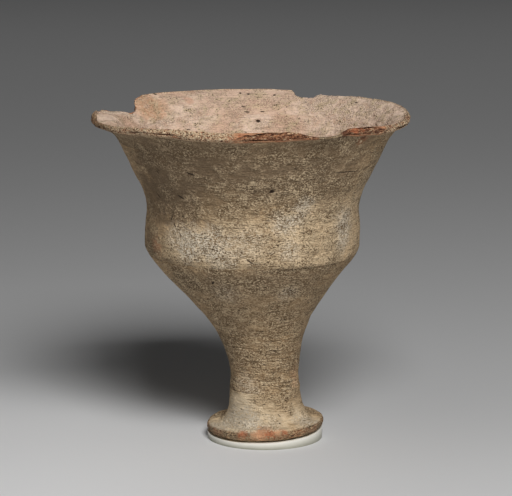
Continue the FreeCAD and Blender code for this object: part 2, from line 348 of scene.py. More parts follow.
class Socket:
    """An output of a node. Sums, differences and products of such outputs add their Math nodes."""

    def __init__(self, finish, socket):
        self.finish, self.socket = finish, socket

    def maths(self, operation, first, second):
        return self.finish.node("ShaderNodeMath", {"operation": operation}, {0: first, 1: second})

    def __add__(self, other):
        return self.maths("ADD", self, other)

    def __radd__(self, other):
        return self.maths("ADD", other, self)

    def __sub__(self, other):
        return self.maths("SUBTRACT", self, other)

    def __rsub__(self, other):
        return self.maths("SUBTRACT", other, self)

    def __mul__(self, other):
        return self.maths("MULTIPLY", self, other)

    def __rmul__(self, other):
        return self.maths("MULTIPLY", other, self)

    def larger(self, other):
        return self.maths("MAXIMUM", self, other)

    def between(self, low, high, to_low=0.0, to_high=1.0):
        """The value brought smoothly from low..high to the other range, and held at its ends."""
        return self.finish.node("ShaderNodeMapRange", {"interpolation_type": "SMOOTHSTEP"}, {
            "Value": self, "From Min": low, "From Max": high, "To Min": to_low, "To Max": to_high})

    def coated(self, share, colour):
        """This colour with another over it, as strong as the share says."""
        return self.finish.mixed(share, self, colour)


class Finish:
    """The nodes of one material."""

    def __init__(self, name):
        self.material = bpy.data.materials.new(name)
        self.material.use_nodes = True
        self.nodes = self.material.node_tree.nodes
        self.nodes.clear()
        shader = self.node("ShaderNodeBsdfPrincipled", {}, {})
        self.shader = shader.socket.node
        self.node("ShaderNodeOutputMaterial", {}, {"Surface": shader}, None)
        coordinates = self.node("ShaderNodeTexCoord", {}, {}, "Object")
        self.place = self.node("ShaderNodeVectorMath", {"operation": "SCALE"},
                               {0: coordinates, "Scale": 1 / MM})

    def node(self, kind, settings, inputs, output=0):
        """A node with its settings, then the values or links of its sockets."""
        node = self.nodes.new(kind)
        for name, setting in settings.items():
            setattr(node, name, setting)
        for name, value in inputs.items():
            self.plug(node.inputs[name], value)
        return None if output is None else Socket(self, node.outputs[output])

    def plug(self, socket, value):
        if isinstance(value, Socket):
            self.material.node_tree.links.new(value.socket, socket)
        else:
            socket.default_value = value

    def surface(self, **inputs):
        """The material, with these inputs of its shader."""
        for name, value in inputs.items():
            self.plug(self.shader.inputs[name.replace("_", " ")], value)
        return self.material

    def vector(self, operation, *values, output=0):
        return self.node("ShaderNodeVectorMath", {"operation": operation}, dict(enumerate(values)), output)

    def share_along(self, axis, vector):
        """How far a vector reaches along an axis."""
        return self.vector("DOT_PRODUCT", vector, axis, output="Value")

    def stretched(self, wide, high, place=None):
        """Coordinates in which a pattern of scale 1 has lumps this wide and this high."""
        return self.vector("MULTIPLY", place or self.place, (1 / wide, 1 / wide, 1 / high))

    def noise(self, wide, high, detail, roughness, distortion=0.0):
        """Values around 0.5, with lumps this wide and this high."""
        return self.node("ShaderNodeTexNoise", {}, {
            "Vector": self.stretched(wide, high), "Scale": 1.0, "Detail": detail, "Roughness": roughness,
            "Distortion": distortion})

    def mixed(self, share, first, second):
        """Two colours, the second as strong as the share says."""
        return self.node("ShaderNodeMix", {"data_type": "RGBA"},
                         {MIX_SHARE: share, MIX_FIRST: first, MIX_SECOND: second}, MIX_RESULT)

    def stored(self, name):
        return self.node("ShaderNodeAttribute", {"attribute_name": name}, {}, "Fac")

    def spot(self, centre, radius, ragged, soft=0.45):
        """1 near the centre and 0 beyond the radius, with an edge that the ragged noise moves."""
        away = self.vector("DISTANCE", self.place, centre, output="Value") + (ragged - 0.5) * (radius * 1.5)
        return away.between(radius * (1 + soft), radius * (1 - soft))

    def spots(self, table, ragged):
        """The sum of the spots: centre, radius, strength."""
        return sum(self.spot(centre, radius, ragged) * strength for centre, radius, strength in table)

    def stroke(self, centre, slope, length, width):
        """1 on a short stroke that lies along the clay at the centre, turned up by the slope."""
        away = math.atan2(centre[1] - BOWL_AXIS[1], centre[0] - BOWL_AXIS[0])
        turn = Matrix.Rotation(away + math.pi / 2, 3, "Z") @ Matrix.Rotation(-math.radians(slope), 3, "Y")
        local = self.node("ShaderNodeMapping", {"vector_type": "TEXTURE"}, {
            "Vector": self.place, "Location": centre, "Rotation": turn.to_euler(),
            "Scale": (length / 2, STROKE_REACH, width / 2)})
        return self.vector("LENGTH", local, output="Value").between(1.15, 0.6)

    def chaff(self, place, kept, grain):
        """1 on the short marks that some cells of the pattern hold, as few as the kept share leaves."""
        away = self.node("ShaderNodeTexVoronoi", {}, {"Vector": place, "Scale": 1.0}, "Distance")
        lot = self.share_along((1, 0, 0), Socket(self, away.socket.node.outputs["Color"]))
        return (away + (grain - 0.5) * 0.25).between(0.13, 0.07) * lot.between(kept, kept + 0.02)

    def relief(self, height, depth):
        inputs = {"Height": height, "Distance": depth * MM, "Strength": 1.0}
        return self.node("ShaderNodeBump", {}, inputs, "Normal")


def tone(red, green, blue):
    """A colour as it is seen, 0 to 255, as the light that a surface returns."""
    seen = [value / 255 for value in (red, green, blue)]
    return tuple(v / 12.92 if v <= 0.04045 else ((v + 0.055) / 1.055)**2.4 for v in seen) + (1.0,)


def clay(name, tones, patches=(), strokes=(), inner_patches=(), spots=(), calm=(), limes=(), turned=0.2):
    """Fired buff clay: mottled, granular, pitted by burnt out chaff, lightly crusted and worn, with painted
    light and shade in places.
    """
    finish = Finish(name)

    def spotted(colour, table, ragged, **soft):
        """The colour with spots over it: tone, centre, radius, strength."""
        for spot_tone, centre, radius, strength in table:
            spot = finish.spot(centre, radius, ragged, **soft)
            colour = colour.coated(spot * strength, getattr(tones, spot_tone))
        return colour

    # from the broadest changes of the clay to its finest grain
    broad = finish.noise(26, 16, 2.0, 0.5)
    mottle = finish.noise(5, 3.4, 3.0, 0.65)
    wiping = finish.noise(6, 0.9, 1.0, 0.5, 0.4)
    turning = finish.noise(10, 0.6, 1.5, 0.5, 0.2)
    grain = finish.noise(0.8, 0.52, 1.5, 0.45, 0.7)
    dust = finish.noise(0.5, 0.4, 2.0, 0.6)
    strata = finish.noise(2.6, 0.8, 3.0, 0.65, 0.8)
    torn = mottle * 1.7 + grain * 1.7 - 1.2
    rough = finish.noise(11, 7, 2.0, 0.6).between(0.36, 0.62, 0.65, 1.4) - finish.spots(calm, mottle)
    rough = rough.larger(0.12)
    inside, broken, scar, crust, sunk, edge = (finish.stored(mark) for mark in MARKS)

    # the clay's own tones, outside and inside, with patches over them, some of them painted light and shade
    colour = finish.mixed(broad.between(0.35, 0.65), tones.body, tones.warm)
    inner = finish.mixed(broad.between(0.42, 0.62), tones.inside, tones.flush)
    colour = spotted(colour, patches, mottle).coated(inside, spotted(inner, inner_patches, mottle))

    # slip, soiling, wiped and turned lines, flecks and pits, weaker inside the bowl
    greyed = finish.mixed(inside, tones.dull, tones.flush)
    colour = colour.coated(mottle.between(0.48, 0.66) * rough * 0.6, tones.pale)
    colour = colour.coated(mottle.between(0.5, 0.34) * rough * 0.6, greyed)
    colour = colour.coated(wiping.between(0.5, 0.36) * (0.28 - inside * 0.13), tones.grime)
    colour = colour.coated(grain.between(0.5, 0.64) * rough * (0.8 - inside * 0.3), tones.fleck)
    lines = turning.between(0.48, 0.38) * (rough * 0.3 + turned)
    colour = colour.coated(lines * (0.5 - inside * 0.3), tones.grime)
    colour = colour.coated(grain.between(0.47, 0.36) * rough * (0.68 - inside * 0.38), tones.grime)
    colour = colour.coated(dust.between(0.52, 0.68) * 0.15, tones.fleck)
    holes = grain.between(0.36, 0.28) * mottle.between(0.52, 0.6)
    colour = colour.coated(holes * 0.8, tones.pore)
    lime = (grain + mottle * 0.4).between(0.62, 0.76) * finish.spots(limes, torn)
    colour = colour.coated(lime, tones.lime)

    # burnt out chaff leaves short dark marks, most of them lying along the turning
    across = finish.share_along((1, 0, 0), finish.place)
    slanted = finish.vector("MULTIPLY_ADD", across, (0, 0, CHAFF_SLANT), finish.place)
    chaff = sum(finish.chaff(place, kept, grain) for place, kept in (
        (finish.stretched(9, 2.2), 0.86), (finish.stretched(7, 2.4, slanted), 0.86),
        (finish.stretched(3.6, 1.3, slanted), 0.9)))
    scratches = sum(finish.stroke(*stroke) for stroke in strokes)
    colour = colour.coated(chaff * 0.8, tones.pore).coated(scratches * 0.95, tones.pore)

    # the lip's edge is crusted; fractures show the clay's orange skin and darker core, in thin layers
    crusted = finish.mixed(grain.between(0.4, 0.58), tones.core_pale, tones.crust)
    crusted = crusted.coated(mottle.between(0.46, 0.34) * 0.7, tones.core)
    crusted = crusted.coated(grain.between(0.45, 0.38), tones.core_dark)
    worn = finish.mixed(mottle.between(0.4, 0.6), tones.grime, tones.umber)
    worn = worn.coated(grain.between(0.46, 0.58) * 0.75, tones.body)
    worn = worn.coated(grain.between(0.4, 0.34), tones.pore)
    core = finish.mixed(strata.between(0.38, 0.62), tones.core, tones.core_pale)
    dark = finish.mixed(strata.between(0.42, 0.58), tones.core_dark, tones.umber)
    dark = dark.coated(strata.between(0.54, 0.6) * mottle.between(0.45, 0.55), tones.fleck)
    dark = dark.coated(grain.between(0.52, 0.62) * 0.55, tones.core_pale)
    dark = dark.coated(grain.between(0.42, 0.32) * 0.8, tones.pore)
    colour = colour.coated(crust, crusted).coated(edge * 0.85, worn).coated(broken, core)
    # painted shade: the crevice in the lip's fold is painted dark red brown
    colour = colour.coated(scar, dark).coated(sunk, tones.core_dark)
    # small spots, among them painted shade and a painted highlight at a dent in the wall
    colour = spotted(colour, spots, torn, soft=0.3)

    height = grain * (rough - inside * 0.45) + mottle * (1.2 - inside * 0.7) + crust * grain
    height = height + dust * 0.06 + wiping * 0.3 + turning * (0.3 + turned * 0.6) + lime * 0.25
    height = height - chaff * 0.6 - scratches * 1.4 - holes * 0.4 + (broken + scar) * strata * 1.2
    return finish.surface(Base_Color=colour, Roughness=grain.between(0.3, 0.7, 0.82, 0.98),
                          Normal=finish.relief(height, 1.25), Specular_IOR_Level=0.25)


def frosted(name, tones):
    """Sawn acrylic, sanded to a dull pale grey, with saw lines round it and a painted highlight along its
    upper edge
    """
    finish = Finish(name)
    cloud = finish.noise(9, 5, 3.0, 0.5)
    sawing = finish.noise(20, 0.5, 3.0, 0.6)
    dust = finish.noise(0.8, 0.6, 3.0, 0.6)
    colour = finish.mixed(cloud.between(0.35, 0.65), tones.sawn_dark, tones.sawn)
    colour = colour.coated(sawing.between(0.5, 0.75) * 0.5, tones.saw_lines)
    colour = colour.coated(dust.between(0.55, 0.75) * 0.35, tones.disc_dust)
    # painted highlight: the bevel along the upper edge is painted near white
    colour = colour.coated(finish.stored("edge"), tones.disc_edge_highlight)
    return finish.surface(Base_Color=colour, Roughness=dust.between(0.3, 0.7, 0.5, 0.75),
                          Normal=finish.relief(sawing * 0.5 + dust * 0.4, 0.12), Specular_IOR_Level=0.4)


def sweep_paper(name, tones):
    """Pale studio paper, a little lighter towards the camera's left and in front: painted light, where the
    lamps light the floor more.
    """
    finish = Finish(name)
    across = finish.share_along((1, 0, 0), finish.place)
    back = finish.share_along((0, 1, 0), finish.place)
    # painted light: the paper is lighter near the camera and at the left, where the lamps fall more strongly
    near = back.between(170, 10)
    colour = finish.mixed(across.between(90, -110) * near, tones.paper, tones.paper_lit)
    colour = colour.coated(back.between(120, -120) * 0.35, tones.paper_lit)
    return finish.surface(Base_Color=colour, Roughness=0.9, Specular_IOR_Level=0.1)


# ---------------------------------------------------------------- what a user may change

def shade(label, text, red, green, blue):
    return bpy.props.FloatVectorProperty(
        name=label, description=text, default=tone(red, green, blue), min=0, max=1,
        subtype="COLOR", size=4)


def depth(label, text, millimetres, most):
    return bpy.props.FloatProperty(
        name=label, description=text, default=millimetres * MM, min=0, max=most * MM,
        unit="LENGTH", precision=5)


class ClayTones(bpy.types.PropertyGroup):
    """Colours of the fired clay, and of the light and shade painted on it."""

    body: shade("Body", "Buff of the worn clay", 182, 154, 119)
    warm: shade("Warm", "Warmer buff where the clay oxidised", 190, 157, 117)
    pale: shade("Pale", "Pale slip and lime crust", 213, 188, 153)
    dull: shade("Dull", "Greyed clay", 140, 117, 88)
    flush: shade("Flush", "Redder clay inside", 220, 183, 159)
    umber: shade("Umber", "Brown layers of a fracture", 150, 98, 66)
    # Soil and shade: grey brown soiling, and painted shade where the lip, the carination and the bowl hang
    # over the clay
    soil_and_shade: shade("Soiled", "Grey brown soiling under the lip", 106, 88, 68)
    # Pale lit band: partly paler clay, partly painted light on the band along the widest part, which faces up
    # to the lamps
    bright: shade("Bright", "Clean band along the widest part", 218, 191, 154)
    lime: shade("Lime", "Whitish lime that clings to the clay", 224, 210, 188)
    inside: shade("Inside", "Pinkish beige of the bowl's inside", 239, 211, 190)
    fleck: shade("Fleck", "Light flecks on high points", 224, 200, 164)
    grime: shade("Grime", "Dirt in the fine hollows", 98, 76, 51)
    pore: shade("Pore", "Dark of pores and burnt out chaff", 56, 42, 31)
    crust: shade("Crust", "Cream lime crust on the lip's edge", 228, 205, 170)
    core: shade("Core", "Orange red clay that a fracture shows", 188, 116, 80)
    core_pale: shade("Pale core", "Paler orange clay near the skin", 222, 168, 128)
    core_dark: shade("Dark core", "Dark red brown clay deep in a fracture", 92, 52, 36)


class DisplayTones(bpy.types.PropertyGroup):
    """Colours of the levelling disc and of the paper under it, with the light painted on both."""

    sawn_dark: shade("Sawn dark", "Darker clouds of the frosted disc", 137, 136, 119)
    sawn: shade("Sawn", "Lighter clouds of the frosted disc", 153, 151, 135)
    saw_lines: shade("Saw lines", "Pale lines that the saw left", 174, 171, 155)
    disc_dust: shade("Disc dust", "Dust on the frosted disc", 118, 116, 100)
    # Disc edge highlight: a painted highlight on the bevel of the disc's upper edge
    disc_edge_highlight: shade("Disc edge", "Bright upper edge of the disc", 250, 247, 236)
    # The fade from paper to lit paper is painted light, lighter where the lamps fall more strongly on the
    # floor
    paper: shade("Paper", "Studio paper further back", 204, 204, 204)
    paper_lit: shade("Lit paper", "Studio paper at the left and in front", 233, 233, 233)


class CupSizes(bpy.types.PropertyGroup):
    """Sizes of the cup's looks."""

    wiping_depth: depth("Wiping depth", "How deep the wiped ridges are, in metres", 0.08, 1)
    lump_depth: depth("Lump depth", "How far the hand made surface swells, in metres", 0.2, 2)
    sway: depth("Sway", "How far the bowl is from round, in metres", 0.35, 2)


# ---------------------------------------------------------------- the pieces

# Where the clay looks different, and where light and shade are painted on it. Patches and spots: tone,
# centre, radius, strength.
# Limes (lime that clings) and calm (smoother places): centre, radius, strength.
# The crust and fleck patches on the foot's top are partly pale crust and partly painted light, lightening the
# upward top where the lamps fall on it
FOOT_PATCHES = (
    ("crust", (-19, -12, 9), 15, 1.0), ("crust", (-7, -20, 11), 11, 1.0), ("fleck", (4, -22, 11), 9, 0.6),
    ("crust", (20, -13, 10), 11, 0.7), ("crust", (-11, -12, 18), 8, 0.7),
)
FOOT_SPOTS = (
    ("core", (-10.4, -25.2, 7.6), 2.0, 0.6), ("core", (-11.8, -24.8, 6.8), 1.3, 0.6),
    ("core_pale", (-4, -26.4, 7.0), 2.4, 0.6), ("core_pale", (-1, -26.9, 7.2), 2.4, 0.6),
    ("core", (3.2, -26.6, 7.6), 2.2, 0.75), ("core_pale", (6.2, -26.2, 7.8), 1.9, 0.8),
    ("core", (9.2, -25.6, 7.8), 1.3, 0.7), ("core", (0.4, -25.2, 9.6), 3.4, 0.3),
)
# The dark patch at the stem's upper left is painted shade under the bowl as well as soiling
STEM_PATCHES = (
    ("core_pale", (14.5, -9, 34), 3.2, 0.5), ("core_pale", (14.8, -9, 28), 3.0, 0.5),
    ("core_pale", (14.8, -9, 40), 2.8, 0.4), ("dull", (17, -9, 45), 12, 0.6),
    ("soil_and_shade", (-18, -10, 45), 12, 0.6), ("dull", (-17, -4, 28), 7, 0.7), ("dull", (-12, -22, 50), 14, 0.4),
)
# The four dark patches just under the carination are painted shade under its overhang as well as soiling
FUNNEL_PATCHES = (
    ("dull", (2, -34, 80), 30, 0.6), ("dull", (-30, -24, 70), 22, 0.5), ("dull", (10, -22, 60), 14, 0.4),
    ("soil_and_shade", (-36, -34, 84), 9, 0.7), ("soil_and_shade", (-20, -46, 85), 10, 0.7),
    ("soil_and_shade", (0, -48, 86), 11, 0.7), ("soil_and_shade", (21, -42, 87), 11, 0.55),
    ("soil_and_shade", (-15, -21, 57), 11, 0.45),
)
# The light patches along the widest part are partly painted light; the dark patches under the lip, along the
# carination's lower edge and on the upper left are painted shade as well as soiling
WALL_PATCHES = (
    ("bright", (24, -44, 104), 21, 0.9), ("bright", (-14, -52, 101), 16, 0.7),
    ("bright", (-36, -40, 99), 12, 0.8), ("bright", (45, -20, 112), 20, 0.6),
    ("bright", (-7, -58, 125), 8, 0.3), ("soil_and_shade", (-43, -47, 135), 24, 0.95),
    ("soil_and_shade", (-18, -60, 140), 22, 0.9), ("soil_and_shade", (10, -60, 142), 22, 0.9),
    ("soil_and_shade", (30, -52, 142), 20, 0.75), ("soil_and_shade", (6, -58, 132), 10, 0.6),
    ("soil_and_shade", (34, -42, 126), 11, 0.4), ("soil_and_shade", (-52, -26, 119), 13, 0.7),
    ("soil_and_shade", (-38, -43, 119), 11, 0.6), ("dull", (-18, -52, 119), 12, 0.7),
    ("soil_and_shade", (-53, -22, 97), 8, 0.6), ("soil_and_shade", (-43, -33, 91.5), 5, 0.6),
    ("soil_and_shade", (-32, -42, 91), 5, 0.6), ("soil_and_shade", (-19, -49, 91), 4.5, 0.55),
    ("soil_and_shade", (-5, -52, 91), 4, 0.5), ("umber", (-50.5, -28, 97.5), 4.5, 0.5),
)
# The three large dark patches on the lip's underside are painted shade under the lip as well as soiling
RIM_PATCHES = (
    ("soil_and_shade", (-30, -62, 147), 30, 0.85), ("soil_and_shade", (-60, -35, 147), 30, 0.8),
    ("soil_and_shade", (25, -60, 147), 30, 0.8), ("grime", (-79, -22, 154), 14, 0.7),
)
WALL_LIMES = (
    ((-41, -40, 104), 7, 0.6), ((-33, -46, 103), 8, 0.75), ((-24, -50, 104), 8, 0.75),
    ((-36, -44, 98), 6, 0.7), ((37, -30, 109), 8, 0.9), ((36, -32, 101), 6, 0.7),
    ((18, -48.6, 121), 5, 0.8), ((8, -51, 112), 6, 0.8), ((15, -50, 114), 5, 0.6), ((11, -51, 100), 6, 0.6),
    ((-8, -53, 103), 9, 0.45), ((-20, -51, 96), 7, 0.6),
)
STEM_LIMES = (((-9, -13.5, 29), 6, 0.45), ((-4, -15, 24), 5, 0.3))
# The limes on the foot's top are partly lime and partly painted light on its upward top
FOOT_LIMES = (
    ((-13, -13, 15), 9, 0.5), ((-20, -12, 9), 10, 1.0), ((-8, -20, 11), 8, 1.0), ((21, -14, 10), 8, 0.9),
    ((5, -21, 11), 6, 0.4),
)
FUNNEL_LIMES = (((10, -37, 78), 6, 0.5), ((-18, -38, 78), 8, 0.3))
WALL_CALM = (
    ((-48, -44, 136), 32, 0.65), ((-8, -62, 150), 24, 0.6), ((34, -52, 152), 22, 0.5),
    ((-56, -20, 118), 22, 0.4),
)
# The first two spots darken the dent in the front of the wall, and the two fleck spots lighten its upper rim:
# painted shade and a painted highlight, with some brown soiling in the dent
WALL_SPOTS = (
    ("soil_and_shade", (-8.3, -59.3, 130.2), 2.0, 0.85), ("soil_and_shade", (-5.6, -59.4, 130.4), 2.0, 0.85),
    ("fleck", (-5.8, -60, 133.0), 1.2, 0.9), ("fleck", (-4.2, -60, 132.3), 0.9, 0.8),
    ("core_pale", (-50.6, -28, 98), 3.0, 0.3),
)
FOOT_CALM = (((-16, -12, 10), 16, 0.9), ((20, -14, 10), 11, 0.7), ((2, -20, 11), 9, 0.5))
RIM_CALM = (((0, -66, 147), 90, 0.35),)
RIM_SPOTS = (
    ("core_dark", (35.5, -62, 154.6), 3.2, 0.5), ("core", (40.8, -58.3, 156.2), 2.0, 0.85),
    ("core", (45.3, -55, 156.0), 1.4, 0.8), ("umber", (49, -52, 155.4), 3.0, 0.4),
    ("umber", (44.5, -49.5, 151), 3.0, 0.6), ("core_dark", (45, -50.2, 151.4), 1.4, 0.6),
    ("fleck", (43.7, -48.8, 149.7), 0.8, 0.7), ("fleck", (46.2, -48.6, 150.8), 0.7, 0.6),
    ("core_pale", (-12.5, -74, 155), 2.6, 0.5),
)
RIM_INNER_PATCHES = (
    ("inside", (-74, -6, 156), 14, 0.95), ("core_pale", (-57, 40, 155), 11, 0.85),
    ("core", (-37, 56, 155), 2.4, 0.6), ("core_pale", (-62, -22, 156), 14, 0.35),
    ("core_pale", (62, 12, 155), 6, 0.4), ("core", (60, 14, 156), 2.5, 0.5),
    ("flush", (-14, 60, 153), 22, 0.6), ("flush", (62, -16, 155), 12, 0.35),
    ("inside", (46, 38, 154), 22, 0.9), ("inside", (60, 8, 155), 18, 0.9),
    ("inside", (28, 48, 150), 20, 0.9),
)

# Strokes: centre, slope in degrees, length, width
WALL_STROKES = (
    ((-34.1, -55.3, 136.1), -16, 4.4, 0.7), ((-49.9, -32.0, 122.5), -50, 3.6, 0.7),
    ((-39.0, -44.7, 123.7), -28, 3.4, 0.8), ((-56.9, -47.9, 149.5), -70, 3.0, 0.6),
    ((-6.9, -54.0, 95.2), -35, 3.6, 0.6), ((-38.5, -42.0, 114.0), 0, 1.2, 0.9),
    ((-42.5, -38.5, 109.5), -50, 2.8, 0.7), ((3.0, -57.9, 128.3), 15, 2.4, 1.5),
    ((37.0, -43.5, 135.2), -4, 17, 0.4), ((46.0, -30.0, 135.0), 8, 8, 0.4),
    ((-44.0, -37.0, 112.5), 70, 3.0, 0.8), ((-39.0, -41.4, 105.5), -45, 3.0, 0.5),
    ((-3.2, 55.8, 144.5), 8, 2.2, 1.4),
)
FUNNEL_STROKES = (
    ((-40.6, -23.8, 79.5), -60, 3.6, 0.5), ((-24.0, -43.0, 83.3), 40, 2.2, 0.9),
    ((11.5, -38.9, 78.7), 20, 3.0, 0.5), ((2.0, -30, 69), -30, 3.0, 0.5),
)
RIM_STROKES = (
    ((-8.6, 57.7, 148.7), 5, 2.6, 0.5), ((-11.8, 65.5, 156.8), 0, 1.2, 0.6),
    ((-8.1, 64.9, 156.4), 0, 1.4, 0.6), ((4.6, 63.6, 156.1), 0, 1.6, 0.6),
    ((-53.5, 53.3, 158.2), 0, 1.4, 0.8),
)
STEM_STROKES = (((-12, -12.5, 20.0), 80, 5.0, 0.5),)

# Dents: centre, width, depth
WALL_DENTS = (
    ((-6.9, -59.9, 130.9), 7.0, 1.2), ((3.0, -57.9, 128.3), 2.6, 1.2), ((-3.2, 55.8, 144.5), 2.4, 1.2),
    ((-38, -46, 116), 9, 0.35), ((25, -48, 112), 8, 0.3),
)


def finished(piece, material, body, node, slot, **marks):
    """Give the piece its marks, its finish and its body, and hide the node that it stands for."""
    for name in MARKS:
        attribute = piece.data.attributes.new(name, "FLOAT", "POINT")
        if name in marks:
            attribute.data.foreach_set("value", np.asarray(marks[name], np.float32))
    take_only(piece)
    bpy.ops.object.shade_smooth_by_angle(angle=SMOOTH_ANGLE)
    piece.data.materials.clear()
    piece.data.materials.append(material)
    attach(piece, body)
    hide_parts(node)
    return piece


class CUP_OT_levelling_disc(bpy.types.Operator):
    """Saw the levelling disc and bevel its edges"""

    bl_idname = "cup.levelling_disc"
    bl_label = "Levelling disc"

    def execute(self, context):
        take_only()
        bpy.ops.mesh.primitive_cylinder_add(
            vertices=DISC_SIDES, radius=DISC_RADIUS * MM, depth=2 * DISC_THICKNESS * MM,
            location=(0, 0, DISC_THICKNESS * MM))
        piece = context.object
        piece.name = piece.data.name = "sawn_disc"
        bpy.ops.object.transform_apply(location=True, rotation=True, scale=True)
        bpy.ops.object.mode_set(mode="EDIT")
        bpy.ops.mesh.select_all(action="SELECT")
        bpy.ops.mesh.bisect(
            plane_co=(0, 0, DISC_THICKNESS * MM), plane_no=wedge_turn(3) @ Vector((0, 0, 1)),
            use_fill=True, clear_outer=True)
        bpy.ops.mesh.select_all(action="DESELECT")
        bpy.ops.object.mode_set(mode="OBJECT")
        for face in piece.data.polygons:
            face.select = abs(face.normal.z) > 0.9
        bpy.ops.object.mode_set(mode="EDIT")
        bpy.ops.mesh.select_mode(type="FACE")
        bpy.ops.mesh.region_to_loop()
        bpy.ops.mesh.bevel(offset=DISC_BEVEL * MM, segments=3, profile=0.5)
        bpy.ops.object.mode_set(mode="OBJECT")
        points = points_of(piece)
        # the bevel round the upper edge, marked for its painted highlight
        surface = DISC_THICKNESS + uphill(points) * math.tan(WEDGE_TILT)
        edge = step_up(points[:, 2], surface - 0.4, surface - 0.25)
        edge = edge * step_up(np.hypot(*points[:, :2].T), 26, 26.8)
        material = frosted("frosted_acrylic", context.scene.display_tones)
        finished(piece, material, "levelling_disc", "display_disc", "frosted_acrylic", edge=edge)
        return {"FINISHED"}


class CUP_OT_foot(bpy.types.Operator):
    """Draw the spreading foot, set askew and worn at its edge"""

    bl_idname = "cup.foot"
    bl_label = "Foot"

    def execute(self, context):
        low = [(POLE, 1.2), (6, 0.8), (12, 0.4), (17, 0.05), (21.5, 0.05), (24.2, 0.15), (25.6, 0.95)]
        edge = [(26.8, 1.45), (27.15, 2.4), (27.2, 3.6), (26.9, 4.8), (26.2, 5.5)]
        throat = [(24.2, 6.3), (21.2, 7.6), (18.8, 9.6), (17.6, 12.2), (17.1, 15.1), (16.9, 18.2),
                  (16.8, FOOT_HEIGHT)]
        bottom = FOOT_HEIGHT - TENON_LENGTH - GAP
        socket = [(12, FOOT_HEIGHT), (TENON_RADIUS, FOOT_HEIGHT), (TENON_RADIUS, FOOT_HEIGHT - 2.5),
                  (TENON_RADIUS, bottom), (POLE, bottom)]
        stations = [(radius, height, 0, 0) for radius, height in low + edge + throat + socket]
        piece = thrown("spreading_foot", stations, 120, closed=False)
        points = points_of(piece)
        radius = np.hypot(points[:, 0], points[:, 1])
        edge_band = step_up(radius, 25.2, 26.3) * (1 - step_up(points[:, 2], 4.6, 5.6))
        worn = Grain(31).rough(points, 4.5, 3.0)
        azimuth = azimuth_of(points)
        leftward, forward = -np.cos(np.radians(azimuth)), -np.sin(np.radians(azimuth))
        # the edge reaches further out at the left, where it isn't worn
        wider = (0.4 + 0.8 * step_up(leftward, -0.2, 0.9) - 0.7 * np.maximum(worn, 0)) / FOOT_RADIUS
        points[:, :2] *= (1 + wider * step_up(radius, 22, 26))[:, None]
        # the top lies flat before it rises, most of all at the left
        flat = step_up(radius, 26, 22) * step_up(radius, 16.9, 18.4) * step_up(points[:, 2], 5.5, 7)
        points[:, 2] -= (0.7 + 0.9 * step_up(leftward, -0.2, 0.8)) * flat
        # the edge is thinner at the sides and the back
        thin = 0.34 * (1 - step_up(forward, 0.1, 0.8)) * step_up(radius, 18, 23)
        points[:, 2] -= thin * np.maximum(points[:, 2] - 2.4, 0)
        # a groove runs along the right part of the edge
        groove = np.exp(-((points[:, 2] - 4.3) / 0.35)**2)
        groove = groove * step_up(azimuth, 290, 300) * step_up(radius, 25, 26)
        points[:, :2] *= (1 - 0.5 / FOOT_RADIUS * groove)[:, None]
        set_points(piece, points)
        stand_on_wedge(piece, (FOOT_SHIFT, 0, FOOT_Z))
        set_points(piece, hand_made(piece, context.scene.cup_sizes))
        material = clay("foot_clay", context.scene.clay_tones, FOOT_PATCHES, spots=FOOT_SPOTS,
                        calm=FOOT_CALM, limes=FOOT_LIMES)
        finished(piece, material, "cup", "foot", "fired_clay_foot", edge=edge_band)
        return {"FINISHED"}


class CUP_OT_stem(bpy.types.Operator):
    """Draw the waisted stem, from the slanting neck to the level top"""

    bl_idname = "cup.stem"
    bl_label = "Stem"

    def execute(self, context):
        height = STEM_TOP[2] - NECK[2]
        drift = STEM_TOP[:2] - NECK[:2]
        shares = [(0, 0.077, 0.0), (0.22, 0.0, 0.02), (0.43, 0.12, 0.2), (0.64, 0.34, 0.46),
                  (0.85, 0.7, 0.74), (1.0, 1.0, 1.0)]
        widening = STEM_TOP_RADIUS - STEM_WAIST
        side = [(STEM_WAIST + widening * wide, NECK[2] + height * rise, *(NECK[:2] + drift * aside))
                for rise, wide, aside in flowing(shares, np.linspace(0, 1, 14))]
        low_x, low_y, low_z = NECK
        high_x, high_y, high_z = STEM_TOP
        below = [(POLE, -TENON_LENGTH), (TENON_RADIUS - GAP, -TENON_LENGTH),
                 (TENON_RADIUS - GAP, -2.5), (TENON_RADIUS - GAP, GAP), (12, GAP)]
        dish = [(17, 0), (13, 0), (9, -4), (POLE, -4)]
        stations = [(radius, low_z + up, low_x, low_y) for radius, up in below]
        stations += side
        stations += [(radius, high_z - GAP + up, high_x, high_y) for radius, up in dish]
        piece = thrown("waisted_stem", stations, 120, closed=False)
        points = points_of(piece)
        level = 1 - step_up(points[:, 2], low_z, low_z + 0.3 * height)
        points[:, 2] += level * uphill(points, (low_x, low_y)) * math.tan(WEDGE_TILT)
        set_points(piece, points)
        set_points(piece, hand_made(piece, context.scene.cup_sizes))
        material = clay("stem_clay", context.scene.clay_tones, STEM_PATCHES, STEM_STROKES, limes=STEM_LIMES,
                        turned=0.8)
        finished(piece, material, "cup", "stem", "fired_clay_stem")
        return {"FINISHED"}


